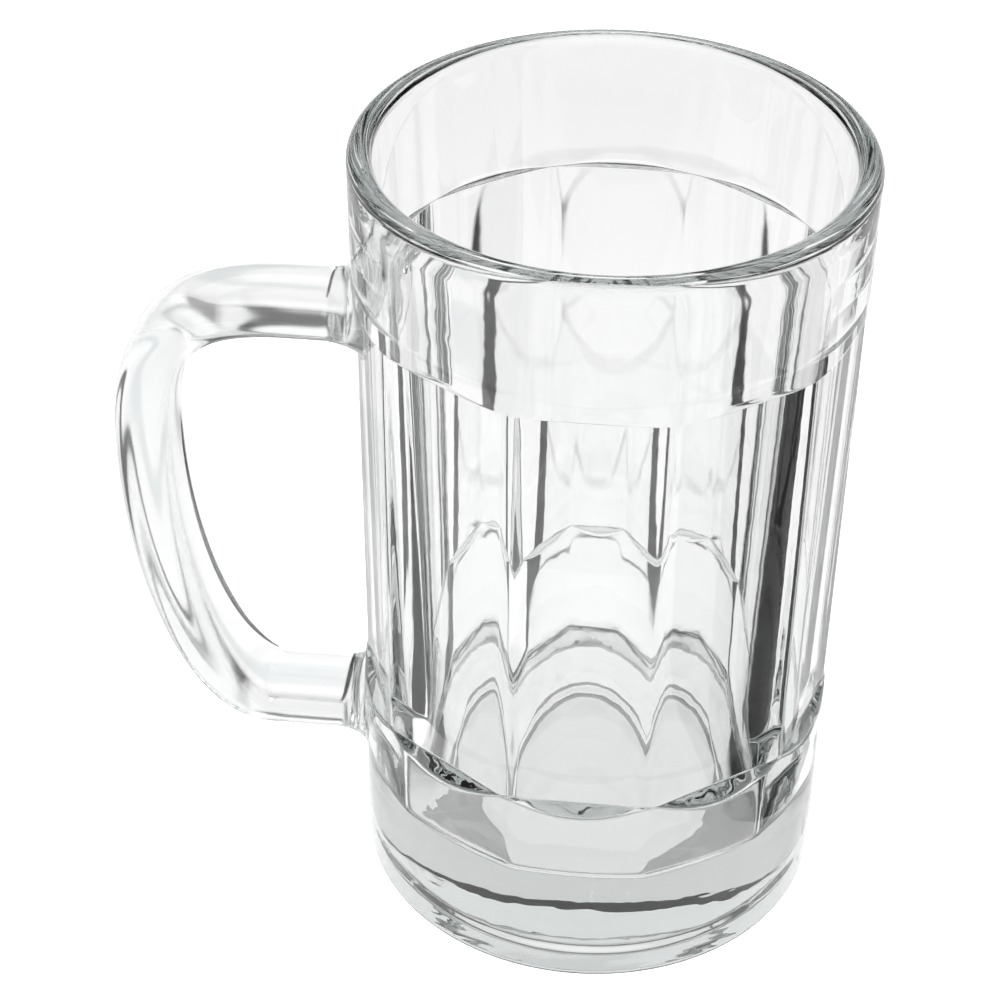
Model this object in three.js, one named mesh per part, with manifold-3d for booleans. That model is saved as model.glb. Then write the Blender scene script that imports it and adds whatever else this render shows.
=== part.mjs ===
// A half-litre glass beer mug: a pressed tumbler with ten flat panels and a thick base,
// and a solid oval bar handle fused to one of the ridges between the panels.
// Millimetres, +Z up. The origin is the centre of the underside and the handle points to -X.
import * as THREE from "three";
import { ParametricGeometry } from "three/addons/geometries/ParametricGeometry.js";
import { mergeVertices } from "three/addons/utils/BufferGeometryUtils.js";
import Module from "manifold-3d";

// Body: outside
const MUG_HEIGHT = 152;
const RIM_DIAMETER = 90; // outside, at the lip
const BASE_DIAMETER = 86.2; // outside, at the top of the heel
const HEEL_RADIUS = 2.5; // rounding between the side and the underside

// Body: cavity
const LIP_WALL = 4.4; // wall at the lip, which is rounded over
const FLOOR_WALL = 8.5; // wall between the side and the cavity, level with its floor
const FLOOR_THICKNESS = 18; // solid glass under the cavity
const CAVITY_CORNER_RADIUS = 8; // rounding between the cavity's wall and floor

// Panels pressed into the side
const PANEL_COUNT = 10;
const PANEL_BOTTOM = 43.5; // height of the straight lower edge of a panel
const PANEL_TOP = 127.3; // height of the straight upper edge of a panel
const RIDGE_SINK = 0.4; // the ridges between panels lie this far under the round side
const UPPER_LEDGE_ANGLE = 60; // slope of the ledge over a panel, in degrees from level
const LOWER_LEDGE_ANGLE = 52; // slope of the ledge under a panel, in degrees from level

// Handle
const BAR_THICKNESS = 11; // across the bar, in the plane of the D
const BAR_WIDTH = 18; // across the bar, out of that plane
const UPPER_ARM_HEIGHT = 117.4; // centre line of the upper arm
const LOWER_ARM_HEIGHT = 29.8; // centre line of the lower arm
const UPPER_ARM_LENGTH = 11.4; // straight part of the upper arm, from the side
const LOWER_ARM_LENGTH = 17; // straight part of the lower arm, from the side
const GRIP_HEIGHT = 87; // where the grip stands furthest out
const FINGER_ROOM = 33.2; // from the side to the grip, at that height
const UPPER_BEND_PULL = 21.5; // how far the upper bend leans into its corner
const GRIP_SWEEP_PULL = 27; // how far the grip runs down before it sweeps in
const LOWER_BEND_PULL = 13; // how far the lower arm runs on before it turns up
const ROOT_FLARE = 3; // how far a root spreads around the bar
const ROOT_FLARE_LENGTH = 5; // how far along the bar the spreading reaches

// Fit
const WELD_GAP = 0.3; // left between the handle's roots and the side
const CUT_MARGIN = 6; // how far a cut runs past the surface it cuts
const ROOT_SINK = 12; // how far the raw bar runs into the side before it is trimmed

// Fineness
const STEPS_PER_PANEL = 8;
const ARC_STEPS = 6;
const BAR_SIDES = 20;
const BAR_RINGS = 64;
const ROOT_CROWDING = 0.7; // how much closer the bar's rings lie at its roots, as a share

const wasm = await Module();
wasm.setup();

// Solids
function solidFrom(geometry) {
  const bare = geometry.clone();
  bare.deleteAttribute("normal");
  bare.deleteAttribute("uv");
  const merged = mergeVertices(bare, 1e-4);
  const corners = merged.index.array;
  const triangles = [];
  for (let i = 0; i < corners.length; i += 3) {
    const [a, b, c] = corners.slice(i, i + 3);
    if (a !== b && b !== c && c !== a) triangles.push(a, b, c);
  }
  return new wasm.Manifold(
    new wasm.Mesh({
      numProp: 3,
      vertProperties: new Float32Array(merged.attributes.position.array),
      triVerts: new Uint32Array(triangles),
    }),
  );
}

function meshFrom(name, solid, material) {
  const { vertProperties, triVerts } = solid.getMesh();
  const geometry = new THREE.BufferGeometry();
  geometry.setAttribute("position", new THREE.BufferAttribute(vertProperties, 3));
  geometry.setIndex(new THREE.BufferAttribute(triVerts, 1));
  geometry.computeVertexNormals();
  const mesh = new THREE.Mesh(geometry, material);
  mesh.name = name;
  return mesh;
}

function arc(x, y, radius, fromDegrees, toDegrees) {
  return Array.from({ length: ARC_STEPS + 1 }, (_, i) => {
    const degrees = fromDegrees + ((toDegrees - fromDegrees) * i) / ARC_STEPS;
    const angle = THREE.MathUtils.degToRad(degrees);
    return new THREE.Vector2(x + radius * Math.cos(angle), y + radius * Math.sin(angle));
  });
}

// A profile of radius and height, turned about +Z
function turned(profile) {
  const geometry = new THREE.LatheGeometry(profile, PANEL_COUNT * STEPS_PER_PANEL);
  return solidFrom(geometry.rotateX(Math.PI / 2));
}

// Radius of the round side, which is a straight taper from the heel to the lip
function sideRadius(height) {
  const share = (height - HEEL_RADIUS) / (MUG_HEIGHT - HEEL_RADIUS);
  return THREE.MathUtils.lerp(BASE_DIAMETER / 2, RIM_DIAMETER / 2, share);
}

// Distance from the axis to the flat of a panel
function panelDistance(height) {
  return (sideRadius(height) - RIDGE_SINK) * Math.cos(Math.PI / PANEL_COUNT);
}

// One cut outside a panel: a flat between two ledges that slope outwards, moved out by grow
function panelCut(index, grow) {
  const rise = Math.tan(THREE.MathUtils.degToRad(UPPER_LEDGE_ANGLE));
  const fall = Math.tan(THREE.MathUtils.degToRad(LOWER_LEDGE_ANGLE));
  const outside = RIM_DIAMETER / 2 + CUT_MARGIN;
  const low = panelDistance(PANEL_BOTTOM) + grow;
  const high = panelDistance(PANEL_TOP) + grow;
  const section = new THREE.Shape([
    new THREE.Vector2(low, PANEL_BOTTOM),
    new THREE.Vector2(outside, PANEL_BOTTOM - (outside - low) * fall),
    new THREE.Vector2(outside, PANEL_TOP + (outside - high) * rise),
    new THREE.Vector2(high, PANEL_TOP),
  ]);
  const width = RIM_DIAMETER * Math.tan(Math.PI / PANEL_COUNT) + CUT_MARGIN;
  const geometry = new THREE.ExtrudeGeometry(section, { depth: width, bevelEnabled: false });
  geometry.translate(0, 0, -width / 2);
  geometry.rotateX(Math.PI / 2);
  geometry.rotateZ((2 * Math.PI * index) / PANEL_COUNT - Math.PI / 2);
  return solidFrom(geometry);
}

function withPanels(blank, grow) {
  let solid = blank;
  for (let index = 0; index < PANEL_COUNT; index++) solid = solid.subtract(panelCut(index, grow));
  return solid;
}

// Body: one turned section with its cavity, then the panels
function bodySolid() {
  const lipRadius = LIP_WALL / 2;
  const floorRadius = sideRadius(FLOOR_THICKNESS) - FLOOR_WALL;
  return withPanels(
    turned([
      new THREE.Vector2(0, 0),
      ...arc(BASE_DIAMETER / 2 - HEEL_RADIUS, HEEL_RADIUS, HEEL_RADIUS, -90, 0),
      ...arc(RIM_DIAMETER / 2 - lipRadius, MUG_HEIGHT - lipRadius, lipRadius, 0, 180),
      ...arc(
        floorRadius - CAVITY_CORNER_RADIUS,
        FLOOR_THICKNESS + CAVITY_CORNER_RADIUS,
        CAVITY_CORNER_RADIUS,
        0,
        -90,
      ),
      new THREE.Vector2(0, FLOOR_THICKNESS),
    ]),
    0,
  );
}

// The body's outside as a full block, grown by the weld gap, which trims the handle's roots
function trimmingBlock() {
  const block = turned([
    new THREE.Vector2(0, 0),
    new THREE.Vector2(sideRadius(0) + WELD_GAP, 0),
    new THREE.Vector2(sideRadius(MUG_HEIGHT) + WELD_GAP, MUG_HEIGHT),
    new THREE.Vector2(0, MUG_HEIGHT),
  ]);
  return withPanels(block, WELD_GAP);
}

// Handle: the bar's centre line, from inside the upper root round to inside the lower one
function barLine() {
  const point = (distance, height) => new THREE.Vector3(-distance, 0, height);
  const upperSide = sideRadius(UPPER_ARM_HEIGHT);
  const lowerSide = sideRadius(LOWER_ARM_HEIGHT);
  const upperBend = upperSide + UPPER_ARM_LENGTH;
  const lowerBend = lowerSide + LOWER_ARM_LENGTH;
  const reach = sideRadius(GRIP_HEIGHT) + FINGER_ROOM + BAR_THICKNESS / 2;
  const line = new THREE.CurvePath();
  line.add(
    new THREE.LineCurve3(
      point(upperSide - ROOT_SINK, UPPER_ARM_HEIGHT),
      point(upperBend, UPPER_ARM_HEIGHT),
    ),
  );
  line.add(
    new THREE.CubicBezierCurve3(
      point(upperBend, UPPER_ARM_HEIGHT),
      point(upperBend + UPPER_BEND_PULL, UPPER_ARM_HEIGHT),
      point(reach, GRIP_HEIGHT + UPPER_BEND_PULL),
      point(reach, GRIP_HEIGHT),
    ),
  );
  line.add(
    new THREE.CubicBezierCurve3(
      point(reach, GRIP_HEIGHT),
      point(reach, GRIP_HEIGHT - GRIP_SWEEP_PULL),
      point(lowerBend + LOWER_BEND_PULL, LOWER_ARM_HEIGHT),
      point(lowerBend, LOWER_ARM_HEIGHT),
    ),
  );
  line.add(
    new THREE.LineCurve3(
      point(lowerBend, LOWER_ARM_HEIGHT),
      point(lowerSide - ROOT_SINK, LOWER_ARM_HEIGHT),
    ),
  );
  return line;
}

// How far the bar's section spreads at a point of its line: a hollow curve close to the side
function rootSpread(point) {
  const away = (-point.x - sideRadius(point.z)) / ROOT_FLARE_LENGTH;
  const toSide = THREE.MathUtils.clamp(1 - away, 0, 1);
  return ROOT_FLARE * (1 - Math.sqrt(1 - toSide * toSide));
}

// The bar: oval rings along its line, closer together at the roots, with both ends closed to a point
function barSolid() {
  const line = barLine();
  const surface = (around, along, target) => {
    const inner = (along * BAR_RINGS - 1) / (BAR_RINGS - 2);
    const ring = THREE.MathUtils.clamp(inner, 0, 1);
    const crowded = ring - (ROOT_CROWDING * Math.sin(2 * Math.PI * ring)) / (2 * Math.PI);
    const centre = line.getPointAt(crowded);
    const ahead = line.getTangentAt(crowded);
    const spread = rootSpread(centre);
    const open = inner < 0 || inner > 1 ? 0 : 1;
    const across = open * (BAR_THICKNESS / 2 + spread) * Math.sin(2 * Math.PI * around);
    const sideways = open * (BAR_WIDTH / 2 + spread) * Math.cos(2 * Math.PI * around);
    target.set(centre.x - ahead.z * across, centre.y + sideways, centre.z + ahead.x * across);
  };
  return solidFrom(new ParametricGeometry(surface, BAR_SIDES, BAR_RINGS));
}

// Handle: the bar with its roots trimmed to the side
function handleSolid() {
  return barSolid().subtract(trimmingBlock());
}

// Clear glass
const bodyGlass = new THREE.MeshStandardMaterial({
  color: 0xe9efed,
  roughness: 0.04,
  metalness: 0,
  transparent: true,
  opacity: 0.35,
});
const handleGlass = bodyGlass.clone();

const mug = new THREE.Group();
mug.add(meshFrom("body", bodySolid(), bodyGlass));
mug.add(meshFrom("handle", handleSolid(), handleGlass));

export default mug;
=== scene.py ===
"""Clear glass beer mug: its fine surfaces, its glass and a plain white studio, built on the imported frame."""

import math

import bpy
import numpy as np
from bpy.props import FloatProperty, FloatVectorProperty, IntProperty, PointerProperty
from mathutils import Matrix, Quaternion, Vector


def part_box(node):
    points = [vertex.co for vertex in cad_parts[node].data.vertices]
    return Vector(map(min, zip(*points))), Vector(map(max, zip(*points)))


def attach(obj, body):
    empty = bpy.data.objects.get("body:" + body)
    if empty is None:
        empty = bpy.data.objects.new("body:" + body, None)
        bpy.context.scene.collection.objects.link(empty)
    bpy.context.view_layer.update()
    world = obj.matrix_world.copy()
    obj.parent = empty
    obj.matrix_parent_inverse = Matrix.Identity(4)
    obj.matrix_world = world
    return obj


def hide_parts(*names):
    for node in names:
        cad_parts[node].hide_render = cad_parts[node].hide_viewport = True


bl_info = {
    "name": "Glass Beer Mug",
    "version": (1, 0, 0),
    "blender": (4, 5, 0),
    "location": "View3D > Sidebar > Mug",
    "description": "Builds a panelled glass beer mug and a plain white studio on the packed frame",
    "category": "Add Mesh",
}

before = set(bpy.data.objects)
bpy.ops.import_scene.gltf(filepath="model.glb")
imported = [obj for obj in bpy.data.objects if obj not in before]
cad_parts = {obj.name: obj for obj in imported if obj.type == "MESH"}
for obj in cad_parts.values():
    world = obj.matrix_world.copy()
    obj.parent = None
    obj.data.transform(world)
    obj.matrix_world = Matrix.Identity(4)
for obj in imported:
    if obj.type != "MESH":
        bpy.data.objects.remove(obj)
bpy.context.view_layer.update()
BODY_LOW, BODY_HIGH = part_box("body")

# Fineness of the meshes
STEPS_PER_HALF_PANEL = 14
LEDGE_ZONE = 0.008  # stretch of the side round a panel's end that has the finest rings
HEEL_STEPS = 20
LIP_STEPS = 20
WALL_STEPS = 26
CORNER_STEPS = 18
HOLLOW_STEPS = 18
BAR_SIDES = 96
UPPER_ARM_STEPS = 8
UPPER_BEND_STEPS = 40
SWEEP_STEPS = 50
LOWER_ARM_STEPS = 12
ROOT_STEPS = 16
ROOT_CROWDING = 1.5  # power by which a root's rings crowd towards the side
SEAT_TRIES = 12

# Brightness of the air, as pairs of height (the sine of the elevation) and brightness
AIR_OVERHEAD = ((0.705, 0.70), (0.72, 1.0), (0.85, 1.0), (0.87, 0.06), (0.915, 0.06), (0.94, 1.0))
AIR_AROUND = ((0.01, 0.75), (0.04, 0.38), (0.62, 0.38), (0.66, 0.70), *AIR_OVERHEAD)
AIR_BEHIND = ((0.01, 0.75), (0.04, 0.03), (0.52, 0.03), (0.56, 0.85), (0.705, 0.85), *AIR_OVERHEAD[1:])
BEHIND_STARTS, BEHIND_FULL = 0.25, 0.45  # how far back a direction points, from 0 to 1

# Cards on the floor: name, shade, left, right, then the left and right ends of the near and far edges
BLACK, GREY = 0.015, 0.40
CARDS = (
    ("right_card", BLACK, 0.064, 0.225, (-0.045, -0.166), (0.022, 0.094)),
    ("front_card", GREY, -0.6, 0.6, (-1.2, -1.2), (-0.16, -0.16)),
    ("left_card", BLACK, -0.215, -0.078, (0.005, -0.030), (0.078, 0.006)),
)
CARD_LIFT = 0.0002

# Floor, camera and light
FLOOR_HALF = 4.0
FLOOR_DROP = 0.00005
SENSOR_WIDTH = 36.0  # in millimetres
VIEW_END = 50.0
LIGHT_BOUNCES = 32
MIRROR_BOUNCES = 16


def length(name, description, default):
    """A size in metres that a user may change."""
    return FloatProperty(
        name=name, description=description, default=default, unit="LENGTH", precision=5
    )


def angle(name, description, degrees):
    """An angle that a user may change, given in degrees."""
    return FloatProperty(
        name=name, description=description, default=math.radians(degrees), subtype="ANGLE"
    )


def amount(name, description, default):
    """A plain number that a user may change."""
    return FloatProperty(name=name, description=description, default=default, precision=3)


def share_of(name, description, default):
    """A share from 0 to 1 that a user may change."""
    return FloatProperty(
        name=name, description=description, default=default, min=0, max=1, subtype="FACTOR"
    )


def colour(name, description, default):
    """A colour that a user may change."""
    return FloatVectorProperty(
        name=name, description=description, default=default, size=3, min=0, max=1, subtype="COLOR"
    )


def point(name, description, default):
    """A place that a user may change."""
    return FloatVectorProperty(
        name=name, description=description, default=default, size=3,
        subtype="TRANSLATION", unit="LENGTH", precision=5,
    )


def power(name, description, default):
    """A lamp's power that a user may change."""
    return FloatProperty(name=name, description=description, default=default, unit="POWER")


class BodySizes(bpy.types.PropertyGroup):
    """Sizes of the pressed tumbler."""

    height: length("Height", "From the underside to the lip", BODY_HIGH.z)
    rim_diameter: length("Rim Diameter", "Outside, at the lip", BODY_HIGH.y - BODY_LOW.y)
    base_diameter: length("Base Diameter", "Outside, at the top of the heel", 0.0862)
    heel_radius: length("Heel Radius", "Rounding between the side and the underside", 0.0025)
    lip_wall: length("Lip Wall", "Wall at the lip, which is rounded over", 0.0044)
    floor_wall: length("Floor Wall", "Wall level with the cavity's floor", 0.0085)
    floor_thickness: length("Floor Thickness", "Solid glass under the cavity", 0.018)
    corner_radius: length("Corner Radius", "Rounding between the cavity's wall and its floor", 0.003)
    dish_width: length("Dish Width", "From the cavity's wall to the flat of its floor", 0.0115)
    dish_slope: angle("Dish Slope", "How the rim of the cavity's floor rises to the wall", 15.5)
    cavity_round: length("Cavity Round", "Height above which the cavity is round", 0.060)
    cavity_edges: share_of("Cavity Edges", "Softness of the cavity's ten corners", 0.02)
    recess_depth: length("Recess Depth", "Of the hollow in the underside", 0.0010)
    recess_inner: length("Recess Inner", "Radius where the hollow starts to fall away", 0.0268)
    recess_outer: length("Recess Outer", "Radius of the ring that the mug stands on, inside", 0.0310)
    panel_count: IntProperty(name="Panels", description="Flat panels round the side", default=10)
    panel_bottom: length("Panel Bottom", "Height of a panel's lower edge", 0.0425)
    panel_top: length("Panel Top", "Height of a panel's upper edge", 0.1248)
    upper_ledge: length("Upper Ledge", "Height of the shoulder over a panel", 0.0022)
    lower_ledge: length("Lower Ledge", "Height of the shoulder under a panel", 0.0032)
    upper_roundness: amount("Upper Roundness", "Of the upper shoulder: 1 is straight, 2 is round", 2.0)
    lower_roundness: amount("Lower Roundness", "Of the lower shoulder: 1 is straight, 2 is round", 1.1)
    ridge_rounding: length("Ridge Rounding", "Softness of the ridges between panels", 0.0010)
    shoulder_rounding: length("Shoulder Rounding", "Softness of the panels' outlines", 0.0004)
    corner_rounding: length("Corner Rounding", "Softness of the corner under a shoulder", 0.0002)


class HandleSizes(bpy.types.PropertyGroup):
    """Sizes of the solid oval bar."""

    thickness: length("Thickness", "Across the bar, in the plane of the D", 0.011)
    width: length("Width", "Across the bar, out of that plane", 0.018)
    upper_arm: length("Upper Arm", "Height of the upper arm's centre line", 0.1174)
    lower_arm: length("Lower Arm", "Height of the lower arm's centre line", 0.0298)
    upper_length: length("Upper Arm Length", "Straight part of the upper arm", 0.0114)
    lower_length: length("Lower Arm Length", "Straight part of the lower arm", 0.017)
    grip: length("Grip Height", "Where the grip stands furthest out", 0.087)
    finger_room: length("Finger Room", "From the side to the grip, at that height", 0.0332)
    upper_pull: length("Upper Bend Pull", "How far the upper bend leans into its corner", 0.0215)
    sweep_pull: length("Sweep Pull", "How far the grip runs down before it sweeps in", 0.027)
    lower_pull: length("Lower Bend Pull", "How far the lower arm runs on before it turns up", 0.013)
    root_flare: length("Root Flare", "How far a root spreads around the bar", 0.003)
    root_length: length("Root Length", "How far along the bar the spreading reaches", 0.005)
    arm_squareness: amount("Arm Squareness", "Of the arms' section: 2 is an ellipse, more is squarer", 2.0)
    grip_squareness: amount("Grip Squareness", "Of the grip's section: 2 is an ellipse, more is squarer", 3.2)
    weld_gap: length("Weld Gap", "Between a root and the side", 0.00003)


class GlassFinish(bpy.types.PropertyGroup):
    """Look of the glass."""

    tint: colour("Tint", "Colour of light after a long way through the glass", (0.71, 0.735, 0.73))
    density: amount("Density", "How fast the glass tints light", 14.0)
    ior: amount("IOR", "Bending power of soda-lime glass", 1.52)
    body_roughness: share_of("Body Roughness", "Of the pressed and polished body", 0.0)
    handle_roughness: share_of("Handle Roughness", "Of the drawn bar", 0.10)
    ripple: length("Ripple", "Height of the waves in the thick base", 0.00007)
    ripple_scale: amount("Ripple Scale", "Waves in a metre", 120.0)
    ripple_detail: amount("Ripple Detail", "Finer waves on the waves", 2.0)
    wall_ripple: share_of("Wall Ripple", "Waves of the walls, as a share", 0.4)
    calm_start: share_of("Calm Start", "Share of the base's height from which the waves calm", 0.7)
    base_top: length("Base Top", "Glass lower than this is the thick base", 0.042)
    outside_radius: length("Outside Radius", "Glass further from the axis than this is the outside", 0.041)
    underside_top: length("Underside Top", "Glass lower than this is the underside", 0.0015)
    graze_clear: share_of("Graze Clear", "A lamp's light passes the outside up to this slant", 0.52)
    graze_dark: share_of("Graze Dark", "A lamp's light is held back from this slant", 0.58)
    graze_left: share_of("Graze Left", "Light that still passes at that slant", 0.01)
    ring_inner: length("Ring Inner", "Where the underside starts to bend a lamp's light away", 0.0264)
    ring_outer: length("Ring Outer", "Where the underside stops bending a lamp's light away", 0.0312)
    ring_loss: share_of("Ring Loss", "Light that is lost in that ring", 0.70)
    dim_radius: length("Dim Radius", "Less of a lamp's light leaves the underside inside this circle", 0.034)
    dim_forward: length("Dim Forward", "How far that circle's middle lies in front of the axis", 0.0075)
    dim_loss: share_of("Dim Loss", "Light that is lost in that circle", 0.20)
    handle_shade: colour("Handle Shade", "Colour of a lamp's light behind the handle", (0.94, 0.95, 0.95))


class StudioLook(bpy.types.PropertyGroup):
    """Camera, floor and light."""

    azimuth: angle("Azimuth", "Of the camera, from the front towards +X", 2.906)
    elevation: angle("Elevation", "Of the camera, above the mug's middle", 35.9)
    distance: length("Distance", "From the camera to the mug's middle", 0.5081)
    roll: angle("Roll", "Of the camera about its line of sight", 0.801)
    aim: point("Aim", "Point that the camera looks at", (-0.01846, 0.0, 0.07745))
    lens: FloatProperty(name="Lens", description="Focal length", default=100.0, unit="CAMERA")
    floor_colour: colour("Floor Colour", "Pale floor", (0.86, 0.86, 0.86))
    floor_white: share_of("Floor White", "Glow that shows the floor white to the camera", 0.75)
    near_distance: length("Near Distance", "From the axis to where the floor's glow in glass starts", 0.30)
    near_glow: share_of("Near Glow", "Glow in glass of the floor nearer than that", 0.03)
    far_distance: length("Far Distance", "From the axis to where that glow is full", 0.60)
    far_glow: share_of("Far Glow", "Glow in glass of the floor further than that", 0.42)
    air_light: share_of("Air Light", "Light that the air throws on matt things", 0.025)
    softbox_place: point("Softbox Place", "Of the soft lamp overhead", (0.0, 0.1, 1.4))
    softbox_aim: point("Softbox Aim", "Point that the soft lamp faces", (0.0, 0.0, 0.05))
    softbox_size: length("Softbox Size", "Side of the soft lamp", 1.2)
    softbox_power: power("Softbox Power", "Of the soft lamp", 0.4)
    lamp_place: point("Lamp Place", "Of the small lamp close to the camera", (0.02, -0.62, 0.600))
    lamp_size: length("Lamp Size", "Radius of the small lamp", 0.006)
    lamp_power: power("Lamp Power", "Of the small lamp", 72.0)


# Surfaces of the body


def soft_min(a, b, width):
    """The lower of two surfaces, with the edge between them rounded."""
    blend = np.maximum(width - np.abs(a - b), 0.0) / width
    return np.minimum(a, b) - blend * blend * width / 4


def soft_max(a, b, width):
    """The higher of two surfaces, with the corner between them filled."""
    return -soft_min(-a, -b, width)


def side_radius(s, z):
    """Radius of the round side, a straight taper from the heel to the lip."""
    share = (z - s.heel_radius) / (s.height - s.heel_radius)
    return s.base_diameter / 2 + (s.rim_diameter - s.base_diameter) / 2 * share


def panel_distance(s, z):
    """Distance from the axis to the flat of a panel."""
    return side_radius(s, z) * math.cos(math.pi / s.panel_count)


def shoulder(s, edge, share, roundness):
    """Distance from the axis to a shoulder, which leaves the panel steeply and rounds over to the side."""
    depth = side_radius(s, edge) - panel_distance(s, edge) + s.corner_rounding
    left = np.clip(1 - share, 0, 1)
    out = np.where(share < 0, share, (1 - left**roundness) ** (1 / roundness))
    return panel_distance(s, edge) + depth * np.where(share < 1, out, share)


def panel_section(s, z):
    """Distance from the axis to a panel and to the shoulders that lead out from its two ends."""
    low = shoulder(s, s.panel_bottom, (s.panel_bottom - z) / s.lower_ledge, s.lower_roundness)
    high = shoulder(s, s.panel_top, (z - s.panel_top) / s.upper_ledge, s.upper_roundness)
    return soft_max(panel_distance(s, z), np.maximum(low, high), s.corner_rounding)


def polygon(s, azimuth, distance, rounding):
    """Radius of a polygon with a side for each panel; azimuth runs from -Y towards +X."""
    half = math.pi / s.panel_count
    across = np.mod(azimuth + half, 2 * half) - half
    own = distance / np.cos(across)
    neighbour = distance / np.cos(np.abs(across) - 2 * half)
    return soft_min(own, neighbour, rounding)


def side_surface(s, azimuth, z):
    """Radius of the panelled side."""
    panels = polygon(s, azimuth, panel_section(s, z), s.ridge_rounding)
    return soft_min(panels, side_radius(s, z), s.shoulder_rounding)


def cavity_radius(s, azimuth, radius, z):
    """Radius of the cavity, which is round at the lip and ten-sided at its floor."""
    share = np.clip((s.cavity_round - z) / (s.cavity_round - s.floor_thickness), 0, 1) ** 2
    return radius * (1 - share + share * polygon(s, azimuth, 1.0, s.cavity_edges))


def arc(x, z, radius, start, end, steps):
    """Points of a profile's round stretch, as rows of radius and height."""
    t = np.radians(np.linspace(start, end, steps))
    return np.stack([x + radius * np.cos(t), z + radius * np.sin(t)], axis=1)


def panel_azimuths(s):
    """Directions round the body, closer together towards the ridges."""
    t = np.linspace(0, 1, STEPS_PER_HALF_PANEL, endpoint=False)
    half = math.pi / s.panel_count
    to_ridge = half * (1 - (1 - t) ** 2)
    one = np.sort(np.concatenate([to_ridge, 2 * half - to_ridge[:0:-1], [half]]))
    return np.concatenate([one + 2 * half * i for i in range(s.panel_count)])


def side_heights(s):
    """Heights of the side's rings, closer together at the ledges."""
    bottom, top = s.panel_bottom, s.panel_top
    lip = s.height - s.lip_wall / 2
    close = LEDGE_ZONE / 16
    return np.concatenate([
        np.linspace(s.heel_radius, bottom - LEDGE_ZONE, 6, endpoint=False)[1:],
        np.linspace(bottom - LEDGE_ZONE, bottom - LEDGE_ZONE / 2, 4, endpoint=False),
        np.linspace(bottom - LEDGE_ZONE / 2, bottom + close, 44, endpoint=False),
        np.linspace(bottom + close, top - close, 16, endpoint=False),
        np.linspace(top - close, top + close, 30, endpoint=False),
        np.linspace(top + close, top + LEDGE_ZONE / 3, 22, endpoint=False),
        np.linspace(top + LEDGE_ZONE / 3, lip, 8)[:-1],
    ])


def between(start, end, shares):
    """Points of a straight stretch of a profile, at shares of its length."""
    return [np.array(start) * (1 - t) + np.array(end) * t for t in shares]


def underside(s):
    """Profile of the underside, from its hollow middle to the ring that the mug stands on."""
    profile = [(s.recess_inner * share, s.recess_depth) for share in (0.3, 0.6, 0.85)]
    for share in np.linspace(0, 1, HOLLOW_STEPS):
        fall = share * share * (3 - 2 * share)
        radius = s.recess_inner + (s.recess_outer - s.recess_inner) * share
        profile.append((radius, s.recess_depth * (1 - fall)))
    flat = s.base_diameter / 2 - s.heel_radius
    profile.append(((s.recess_outer + flat) / 2, 0.0))
    return profile + list(arc(flat, s.heel_radius, s.heel_radius, -90, 0, HEEL_STEPS))


def cavity(s, wall_top):
    """Profile of the cavity, from the lip down its wall and in over the dished floor."""
    floor_radius = side_radius(s, s.floor_thickness) - s.floor_wall
    flat = (floor_radius - s.dish_width, s.floor_thickness)
    dish_edge = floor_radius - s.corner_radius * (1 - math.sin(s.dish_slope))
    dish_top = flat[1] + (dish_edge - flat[0]) * math.tan(s.dish_slope)
    middle = dish_top + s.corner_radius * math.cos(s.dish_slope)
    return [
        *between(wall_top, (floor_radius, middle), np.linspace(0, 1, WALL_STEPS)[1:-1]),
        *arc(
            floor_radius - s.corner_radius, middle, s.corner_radius,
            0, math.degrees(s.dish_slope) - 90, CORNER_STEPS,
        ),
        *between((dish_edge, dish_top), flat, (0.05, 0.3, 0.6, 0.95)),
        *((flat[0] * share, flat[1]) for share in (1.0, 0.985, 0.85, 0.6, 0.3)),
    ]


def body_rings(s):
    """Rings of the body, from the middle of the underside up the outside and down the cavity."""
    turn = panel_azimuths(s)
    level = np.ones_like(turn)
    lip = s.lip_wall / 2
    lip_round = arc(s.rim_diameter / 2 - lip, s.height - lip, lip, 0, 180, LIP_STEPS)
    surface = [
        *((radius * level, z) for radius, z in underside(s)),
        *((side_surface(s, turn, z * level), z) for z in side_heights(s)),
        *((radius * level, z) for radius, z in lip_round),
        *((cavity_radius(s, turn, radius, z), z) for radius, z in cavity(s, lip_round[-1])),
    ]
    return [np.stack([r * np.sin(turn), -r * np.cos(turn), z * level], axis=1) for r, z in surface]


# Surfaces of the handle


def bezier(a, b, c, d, steps):
    """Points of a cubic curve."""
    a, b, c, d = (np.array(p) for p in (a, b, c, d))
    t = np.linspace(0, 1, steps)[:, None]
    return (1 - t) ** 3 * a + 3 * (1 - t) ** 2 * t * b + 3 * (1 - t) * t**2 * c + t**3 * d


def bar_line(s, h):
    """The bar's centre line as distances from the axis and heights, from one root's end to the other's."""
    upper_side, lower_side = side_radius(s, h.upper_arm), side_radius(s, h.lower_arm)
    upper_bend, lower_bend = upper_side + h.upper_length, lower_side + h.lower_length
    reach = side_radius(s, h.grip) + h.finger_room + h.thickness / 2
    upper = np.linspace(
        (upper_side + h.root_length, h.upper_arm), (upper_bend, h.upper_arm),
        UPPER_ARM_STEPS, endpoint=False,
    )
    over = bezier(
        (upper_bend, h.upper_arm), (upper_bend + h.upper_pull, h.upper_arm),
        (reach, h.grip + h.upper_pull), (reach, h.grip), UPPER_BEND_STEPS,
    )
    sweep = bezier(
        (reach, h.grip), (reach, h.grip - h.sweep_pull),
        (lower_bend + h.lower_pull, h.lower_arm), (lower_bend, h.lower_arm), SWEEP_STEPS,
    )
    lower = np.linspace(
        (lower_bend, h.lower_arm), (lower_side + h.root_length, h.lower_arm), LOWER_ARM_STEPS
    )
    return np.concatenate([upper, over[:-1], sweep[:-1], lower])


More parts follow.
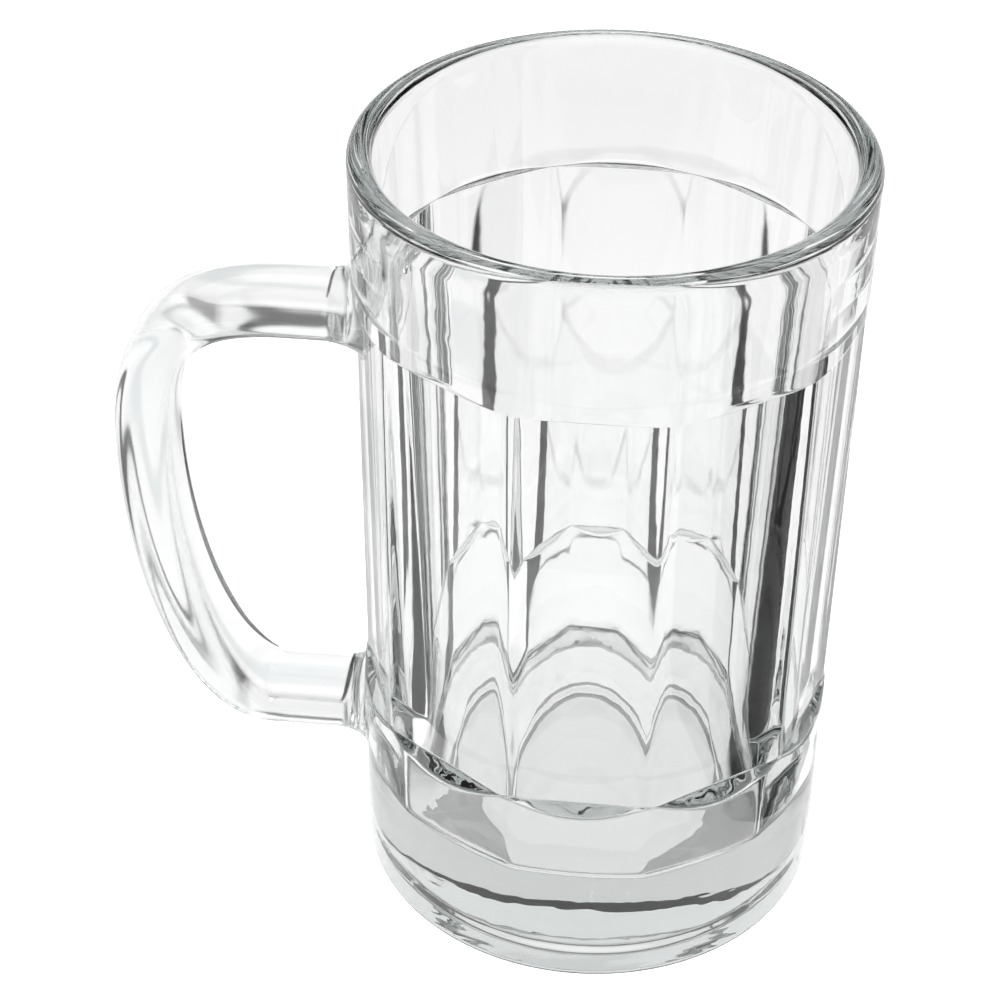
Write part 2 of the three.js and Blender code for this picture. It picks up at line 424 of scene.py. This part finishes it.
def side_distance(s, y, z):
    """How far the side lies from the axis plane along -X, at points given by y and z."""
    x = np.sqrt(np.maximum(side_radius(s, z) ** 2 - y**2, 0.0))
    for _ in range(SEAT_TRIES):
        radius = side_surface(s, np.arctan2(-x, -y), z)
        x = np.sqrt(np.maximum(radius**2 - y**2, 0.0))
    return x


def oval(squareness):
    """The bar's section at size 1, across the bar and sideways, from an ellipse to a rounded square."""
    around = np.linspace(0, 2 * math.pi, BAR_SIDES, endpoint=False)
    c, s = np.cos(around), np.sin(around)
    reach = (np.abs(c) ** squareness + np.abs(s) ** squareness) ** (-1 / squareness)
    return reach * c, reach * s


def bar_rings(s, h):
    """Rings of the bar, which is squarer where it stands upright."""
    line = bar_line(s, h)
    ahead = np.gradient(line, axis=0)
    ahead /= np.linalg.norm(ahead, axis=1)[:, None]
    rings = []
    for (x, z), (dx, dz) in zip(line, ahead):
        across, sideways = oval(h.arm_squareness + dz * dz * (h.grip_squareness - h.arm_squareness))
        out = h.thickness / 2 * across
        rings.append(np.stack([-(x - dz * out), h.width / 2 * sideways, z + dx * out], axis=1))
    return rings


def root_rings(s, h, arm, spin):
    """Rings of a flared root, from its middle on the side out to the bar; spin 1 or -1 sets their turn."""
    across, sideways = oval(h.arm_squareness)
    rings = []
    for share in (0.15, 0.4, 0.65, 0.85):
        y = share * (h.width / 2 + h.root_flare) * sideways
        z = arm + share * spin * (h.thickness / 2 + h.root_flare) * across
        rings.append(np.stack([-(side_distance(s, y, z) + h.weld_gap), y, z], axis=1))
    for away in np.linspace(0, 1, ROOT_STEPS, endpoint=False) ** ROOT_CROWDING:
        spread = h.root_flare * (1 - math.sqrt(1 - (1 - away) ** 2))
        y = (h.width / 2 + spread) * sideways
        z = arm + spin * (h.thickness / 2 + spread) * across
        close = (1 - away) ** 2
        seat = close * side_distance(s, y, z) + (1 - close) * side_radius(s, arm)
        rings.append(np.stack([-(seat + h.weld_gap + away * h.root_length), y, z], axis=1))
    return rings


def root_middle(s, h, arm):
    """The point in the middle of a root, where it meets the side."""
    x = side_distance(s, np.array([0.0]), np.array([arm]))[0] + h.weld_gap
    return (-x, 0.0, arm)


# Meshes


def ring_mesh(name, rings, first, last):
    """A closed mesh of rings of points, with a point at each end."""
    count = len(rings[0])
    points = np.concatenate([*rings, [first], [last]])
    start, end = len(points) - 2, len(points) - 1
    pairs = [(i, (i + 1) % count) for i in range(count)]
    faces = [(start, b, a) for a, b in pairs]
    for low in range(0, (len(rings) - 1) * count, count):
        high = low + count
        faces += [(low + a, low + b, high + b, high + a) for a, b in pairs]
    top = (len(rings) - 1) * count
    faces += [(top + a, top + b, end) for a, b in pairs]
    mesh = bpy.data.meshes.new(name)
    mesh.from_pydata([tuple(p) for p in points], [], faces)
    mesh.validate()
    mesh.shade_smooth()
    return mesh


def add_piece(context, name, mesh, material, node):
    """Links a piece that stands for a CAD node and rides on the mug's one body."""
    mesh.materials.append(material)
    piece = bpy.data.objects.new(name, mesh)
    context.scene.collection.objects.link(piece)
    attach(piece, "root")
    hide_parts(node)
    return piece


# Glass


def grey(value):
    """An opaque grey."""
    return (value, value, value, 1)


def number(tree, operation, first, second):
    """A Math node on two numbers, each of which is fixed or comes from another node."""
    node = tree.nodes.new("ShaderNodeMath")
    node.operation = operation
    for socket, value in zip(node.inputs, (first, second)):
        if isinstance(value, float):
            socket.default_value = value
        else:
            tree.links.new(value, socket)
    return node.outputs[0]


def two_stops(tree, fac, low, high):
    """A colour ramp between two stops, each a pair of a position and a grey."""
    ramp = tree.nodes.new("ShaderNodeValToRGB")
    for stop, (position, value) in zip(ramp.color_ramp.elements, (low, high)):
        stop.position = position
        stop.color = grey(value)
    tree.links.new(fac, ramp.inputs["Fac"])
    return ramp.outputs["Color"]


def lamp_light(tree, place, finish):
    """Lets a lamp's light through, but not where it grazes the outside, and less of it through the base."""
    level = tree.nodes.new("ShaderNodeVectorMath")
    level.operation = "MULTIPLY"
    level.inputs[1].default_value = (1, 1, 0)
    from_axis = tree.nodes.new("ShaderNodeVectorMath")
    from_axis.operation = "LENGTH"
    forward = tree.nodes.new("ShaderNodeVectorMath")
    forward.operation = "DISTANCE"
    forward.inputs[1].default_value = (0, -finish.dim_forward, 0)
    split = tree.nodes.new("ShaderNodeSeparateXYZ")
    facing = tree.nodes.new("ShaderNodeLayerWeight")
    tree.links.new(place, level.inputs[0])
    tree.links.new(place, split.inputs[0])
    tree.links.new(level.outputs[0], from_axis.inputs[0])
    tree.links.new(level.outputs[0], forward.inputs[0])
    radius = from_axis.outputs["Value"]
    side = number(tree, "GREATER_THAN", radius, finish.outside_radius)
    under = number(tree, "LESS_THAN", split.outputs["Z"], finish.underside_top)
    outside = number(tree, "MAXIMUM", side, under)
    slant = number(tree, "MULTIPLY", facing.outputs["Facing"], outside)
    shade = two_stops(tree, slant, (finish.graze_clear, 1.0), (finish.graze_dark, finish.graze_left))
    inside = number(tree, "LESS_THAN", forward.outputs["Value"], finish.dim_radius)
    past = number(tree, "GREATER_THAN", radius, finish.ring_inner)
    within = number(tree, "LESS_THAN", radius, finish.ring_outer)
    ring = number(tree, "MULTIPLY", number(tree, "MULTIPLY", past, within), finish.ring_loss)
    dim = number(tree, "MULTIPLY", inside, finish.dim_loss)
    lost = number(tree, "MULTIPLY", under, number(tree, "MAXIMUM", ring, dim))
    through = tree.nodes.new("ShaderNodeBsdfTransparent")
    kept = number(tree, "MULTIPLY", shade, number(tree, "SUBTRACT", 1.0, lost))
    tree.links.new(kept, through.inputs["Color"])
    return through.outputs[0]


def plain_light(tree, finish):
    """Lets a lamp's light through with a faint shade."""
    through = tree.nodes.new("ShaderNodeBsdfTransparent")
    through.inputs["Color"].default_value = (*finish.handle_shade, 1)
    return through.outputs[0]


def mould_waves(tree, place, finish):
    """Slow waves from the mould, strongest in the thick base."""
    waves = tree.nodes.new("ShaderNodeTexNoise")
    waves.inputs["Scale"].default_value = finish.ripple_scale
    waves.inputs["Detail"].default_value = finish.ripple_detail
    split = tree.nodes.new("ShaderNodeSeparateXYZ")
    calm = tree.nodes.new("ShaderNodeMapRange")
    calm.inputs["From Min"].default_value = finish.base_top * finish.calm_start
    calm.inputs["From Max"].default_value = finish.base_top
    calm.inputs["To Min"].default_value = 1.0
    calm.inputs["To Max"].default_value = finish.wall_ripple
    bump = tree.nodes.new("ShaderNodeBump")
    bump.inputs["Strength"].default_value = 1.0
    bump.inputs["Distance"].default_value = finish.ripple
    tree.links.new(place, waves.inputs["Vector"])
    tree.links.new(place, split.inputs[0])
    tree.links.new(split.outputs["Z"], calm.inputs["Value"])
    swell = number(tree, "MULTIPLY", waves.outputs["Fac"], calm.outputs[0])
    tree.links.new(swell, bump.inputs["Height"])
    return bump.outputs["Normal"]


def clear_glass(name, finish, roughness, shaded):
    """Fire-polished clear glass with slow waves from the mould and a faint tint in depth."""
    material = bpy.data.materials.new(name)
    material.use_nodes = True
    tree = material.node_tree
    out = tree.nodes["Material Output"]
    shader = tree.nodes["Principled BSDF"]
    shader.inputs["Base Color"].default_value = grey(1.0)
    shader.inputs["Roughness"].default_value = roughness
    shader.inputs["IOR"].default_value = finish.ior
    shader.inputs["Transmission Weight"].default_value = 1.0
    depth = tree.nodes.new("ShaderNodeVolumeAbsorption")
    depth.inputs["Color"].default_value = (*finish.tint, 1)
    depth.inputs["Density"].default_value = finish.density
    place = tree.nodes.new("ShaderNodeTexCoord").outputs["Object"]
    path = tree.nodes.new("ShaderNodeLightPath")
    mix = tree.nodes.new("ShaderNodeMixShader")
    light = lamp_light(tree, place, finish) if shaded else plain_light(tree, finish)
    tree.links.new(mould_waves(tree, place, finish), shader.inputs["Normal"])
    tree.links.new(path.outputs["Is Shadow Ray"], mix.inputs["Fac"])
    tree.links.new(shader.outputs[0], mix.inputs[1])
    tree.links.new(light, mix.inputs[2])
    tree.links.new(mix.outputs[0], out.inputs["Surface"])
    tree.links.new(depth.outputs["Volume"], out.inputs["Volume"])
    return material


# Studio


def seen_directly(tree, path):
    """1 for rays that show the background: from the camera, a mirror or glass."""
    either = number(tree, "MAXIMUM", path.outputs["Is Camera Ray"], path.outputs["Is Glossy Ray"])
    return number(tree, "MAXIMUM", either, path.outputs["Is Transmission Ray"])


def floor_material(look):
    """Pale matt floor that shows white where nothing shades it."""
    material = bpy.data.materials.new("studio_floor")
    material.use_nodes = True
    tree = material.node_tree
    tree.nodes.clear()
    out = tree.nodes.new("ShaderNodeOutputMaterial")
    matt = tree.nodes.new("ShaderNodeBsdfDiffuse")
    matt.inputs["Color"].default_value = (*look.floor_colour, 1)
    glow = tree.nodes.new("ShaderNodeEmission")
    both = tree.nodes.new("ShaderNodeAddShader")
    place = tree.nodes.new("ShaderNodeTexCoord")
    path = tree.nodes.new("ShaderNodeLightPath")
    away = tree.nodes.new("ShaderNodeVectorMath")
    away.operation = "LENGTH"
    tree.links.new(place.outputs["Object"], away.inputs[0])
    fill = two_stops(
        tree, away.outputs["Value"],
        (look.near_distance, look.near_glow), (look.far_distance, look.far_glow),
    )
    in_glass = number(tree, "MULTIPLY", seen_directly(tree, path), fill)
    to_camera = number(tree, "MULTIPLY", path.outputs["Is Camera Ray"], look.floor_white)
    tree.links.new(number(tree, "MAXIMUM", to_camera, in_glass), glow.inputs["Strength"])
    tree.links.new(matt.outputs[0], both.inputs[0])
    tree.links.new(glow.outputs[0], both.inputs[1])
    tree.links.new(both.outputs[0], out.inputs["Surface"])
    return material


def air_bands(tree, height, bands):
    """A glow of the air by height, from pairs of height and brightness."""
    ramp = tree.nodes.new("ShaderNodeValToRGB")
    stops = ramp.color_ramp.elements
    stops[0].color = grey(1.0)
    stops[1].color = grey(1.0)
    for position, value in bands:
        stops.new(position).color = grey(value)
    glow = tree.nodes.new("ShaderNodeBackground")
    tree.links.new(height, ramp.inputs["Fac"])
    tree.links.new(ramp.outputs["Color"], glow.inputs["Color"])
    return glow.outputs[0]


def plain_air(tree, value):
    """A glow of the air that is the same all round."""
    glow = tree.nodes.new("ShaderNodeBackground")
    glow.inputs["Color"].default_value = grey(value)
    return glow.outputs[0]


def mixed(tree, share, first, second):
    """Two shaders mixed by a share of the second."""
    node = tree.nodes.new("ShaderNodeMixShader")
    tree.links.new(share, node.inputs["Fac"])
    tree.links.new(first, node.inputs[1])
    tree.links.new(second, node.inputs[2])
    return node.outputs[0]


def studio_world(look):
    """White for the camera; glass shows a dark wall low behind the mug, grey air and light overhead."""
    world = bpy.data.worlds.new("studio_world")
    world.use_nodes = True
    tree = world.node_tree
    tree.nodes.clear()
    out = tree.nodes.new("ShaderNodeOutputWorld")
    place = tree.nodes.new("ShaderNodeTexCoord")
    path = tree.nodes.new("ShaderNodeLightPath")
    split = tree.nodes.new("ShaderNodeSeparateXYZ")
    back = tree.nodes.new("ShaderNodeMapRange")
    back.inputs["From Min"].default_value = BEHIND_STARTS
    back.inputs["From Max"].default_value = BEHIND_FULL
    tree.links.new(place.outputs["Generated"], split.inputs[0])
    tree.links.new(split.outputs["Y"], back.inputs["Value"])
    around = air_bands(tree, split.outputs["Z"], AIR_AROUND)
    behind = air_bands(tree, split.outputs["Z"], AIR_BEHIND)
    air = mixed(tree, back.outputs[0], around, behind)
    seen = mixed(tree, seen_directly(tree, path), plain_air(tree, look.air_light), air)
    shown = mixed(tree, path.outputs["Is Camera Ray"], seen, plain_air(tree, 1.0))
    tree.links.new(shown, out.inputs["Surface"])
    return world


def add_sheet(context, name, corners, material):
    """A flat sheet of the stage."""
    mesh = bpy.data.meshes.new(name)
    mesh.from_pydata(corners, [], [(0, 1, 2, 3)])
    mesh.materials.append(material)
    sheet = bpy.data.objects.new(name, mesh)
    context.scene.collection.objects.link(sheet)
    return sheet


def add_floor(context, look):
    """A wide flat floor just under the mug."""
    signs = ((-1, -1), (1, -1), (1, 1), (-1, 1))
    corners = [(FLOOR_HALF * x, FLOOR_HALF * y, -FLOOR_DROP) for x, y in signs]
    add_sheet(context, "floor", corners, floor_material(look))


def add_card(context, name, shade, left, right, near, far):
    """A plain card that lies on the floor out of the picture, which only glass shows."""
    material = bpy.data.materials.new(name)
    material.use_nodes = True
    shader = material.node_tree.nodes["Principled BSDF"]
    shader.inputs["Base Color"].default_value = grey(shade)
    shader.inputs["Roughness"].default_value = 1.0
    shader.inputs["Specular IOR Level"].default_value = 0.0
    outline = ((left, near[0]), (right, near[1]), (right, far[1]), (left, far[0]))
    card = add_sheet(context, name, [(x, y, CARD_LIFT) for x, y in outline], material)
    card.visible_camera = False
    card.visible_diffuse = False
    card.visible_shadow = False


def add_light(context, name, lamp, place):
    """Links a lamp at a place."""
    light = bpy.data.objects.new(name, lamp)
    light.location = place
    context.scene.collection.objects.link(light)
    return light


def add_softbox(context, look):
    """A soft square lamp overhead."""
    lamp = bpy.data.lights.new("top_softbox", "AREA")
    lamp.size = look.softbox_size
    lamp.energy = look.softbox_power
    light = add_light(context, "top_softbox", lamp, look.softbox_place)
    gaze = Vector(look.softbox_aim) - Vector(look.softbox_place)
    light.rotation_euler = gaze.to_track_quat("-Z", "Y").to_euler()


def add_front_lamp(context, look):
    """A small lamp near the camera that is as bright far off as close by."""
    lamp = bpy.data.lights.new("front_lamp", "POINT")
    lamp.shadow_soft_size = look.lamp_size
    lamp.energy = look.lamp_power
    lamp.use_nodes = True
    tree = lamp.node_tree
    falloff = tree.nodes.new("ShaderNodeLightFalloff")
    falloff.inputs["Strength"].default_value = 1.0
    tree.links.new(falloff.outputs["Constant"], tree.nodes["Emission"].inputs["Strength"])
    add_light(context, "front_lamp", lamp, look.lamp_place)


def add_camera(context, look, middle):
    """The camera at the photograph's viewing angle."""
    data = bpy.data.cameras.new("camera")
    data.lens = look.lens
    data.sensor_width = SENSOR_WIDTH
    data.clip_end = VIEW_END
    camera = bpy.data.objects.new("camera", data)
    level = look.distance * math.cos(look.elevation)
    camera.location = middle + Vector((
        level * math.sin(look.azimuth),
        -level * math.cos(look.azimuth),
        look.distance * math.sin(look.elevation),
    ))
    gaze = (Vector(look.aim) - camera.location).to_track_quat("-Z", "Y")
    camera.rotation_mode = "QUATERNION"
    camera.rotation_quaternion = gaze @ Quaternion((0, 0, 1), look.roll)
    context.scene.collection.objects.link(camera)
    context.scene.camera = camera


# Operators


class MUG_OT_body(bpy.types.Operator):
    """Make the panelled tumbler with its thick base"""

    bl_idname = "mug.make_body"
    bl_label = "Make Body"

    def execute(self, context):
        s = context.scene.mug_body
        finish = context.scene.mug_glass
        first = (0.0, 0.0, s.recess_depth)
        last = (0.0, 0.0, s.floor_thickness)
        mesh = ring_mesh("mug_body", body_rings(s), first, last)
        glass = clear_glass("mug_body_glass", finish, finish.body_roughness, True)
        add_piece(context, "mug_body", mesh, glass, "body")
        return {"FINISHED"}


class MUG_OT_handle(bpy.types.Operator):
    """Make the solid oval bar with its flared roots"""

    bl_idname = "mug.make_handle"
    bl_label = "Make Handle"

    def execute(self, context):
        s = context.scene.mug_body
        h = context.scene.mug_handle
        finish = context.scene.mug_glass
        upper = root_rings(s, h, h.upper_arm, 1)
        lower = root_rings(s, h, h.lower_arm, -1)
        first = root_middle(s, h, h.upper_arm)
        last = root_middle(s, h, h.lower_arm)
        mesh = ring_mesh("mug_handle", [*upper, *bar_rings(s, h), *reversed(lower)], first, last)
        glass = clear_glass("mug_handle_glass", finish, finish.handle_roughness, False)
        add_piece(context, "mug_handle", mesh, glass, "handle")
        return {"FINISHED"}


class MUG_OT_studio(bpy.types.Operator):
    """Make the floor, the light and the camera"""

    bl_idname = "mug.make_studio"
    bl_label = "Make Studio"

    def execute(self, context):
        scene = context.scene
        look = scene.mug_studio
        add_floor(context, look)
        scene.world = studio_world(look)
        for card in CARDS:
            add_card(context, *card)
        add_softbox(context, look)
        add_front_lamp(context, look)
        add_camera(context, look, Vector((0, 0, scene.mug_body.height / 2)))
        scene.view_settings.view_transform = "Standard"
        scene.cycles.max_bounces = LIGHT_BOUNCES
        scene.cycles.transmission_bounces = LIGHT_BOUNCES
        scene.cycles.glossy_bounces = MIRROR_BOUNCES
        scene.cycles.caustics_refractive = False
        scene.cycles.caustics_reflective = False
        return {"FINISHED"}


class MUG_PT_panel(bpy.types.Panel):
    """Lists the mug's pieces and its studio"""

    bl_idname = "MUG_PT_panel"
    bl_label = "Glass Beer Mug"
    bl_space_type = "VIEW_3D"
    bl_region_type = "UI"
    bl_category = "Mug"

    def draw(self, context):
        for operator in (MUG_OT_body, MUG_OT_handle, MUG_OT_studio):
            self.layout.operator(operator.bl_idname)


GROUPS = {
    "mug_body": BodySizes,
    "mug_handle": HandleSizes,
    "mug_glass": GlassFinish,
    "mug_studio": StudioLook,
}
CLASSES = (*GROUPS.values(), MUG_OT_body, MUG_OT_handle, MUG_OT_studio, MUG_PT_panel)


def register():
    for cls in CLASSES:
        bpy.utils.register_class(cls)
    for name, group in GROUPS.items():
        setattr(bpy.types.Scene, name, PointerProperty(type=group))


def unregister():
    for name in GROUPS:
        delattr(bpy.types.Scene, name)
    for cls in reversed(CLASSES):
        bpy.utils.unregister_class(cls)


def main():
    register()
    bpy.ops.mug.make_body()
    bpy.ops.mug.make_handle()
    bpy.ops.mug.make_studio()


if __name__ == "__main__":
    main()
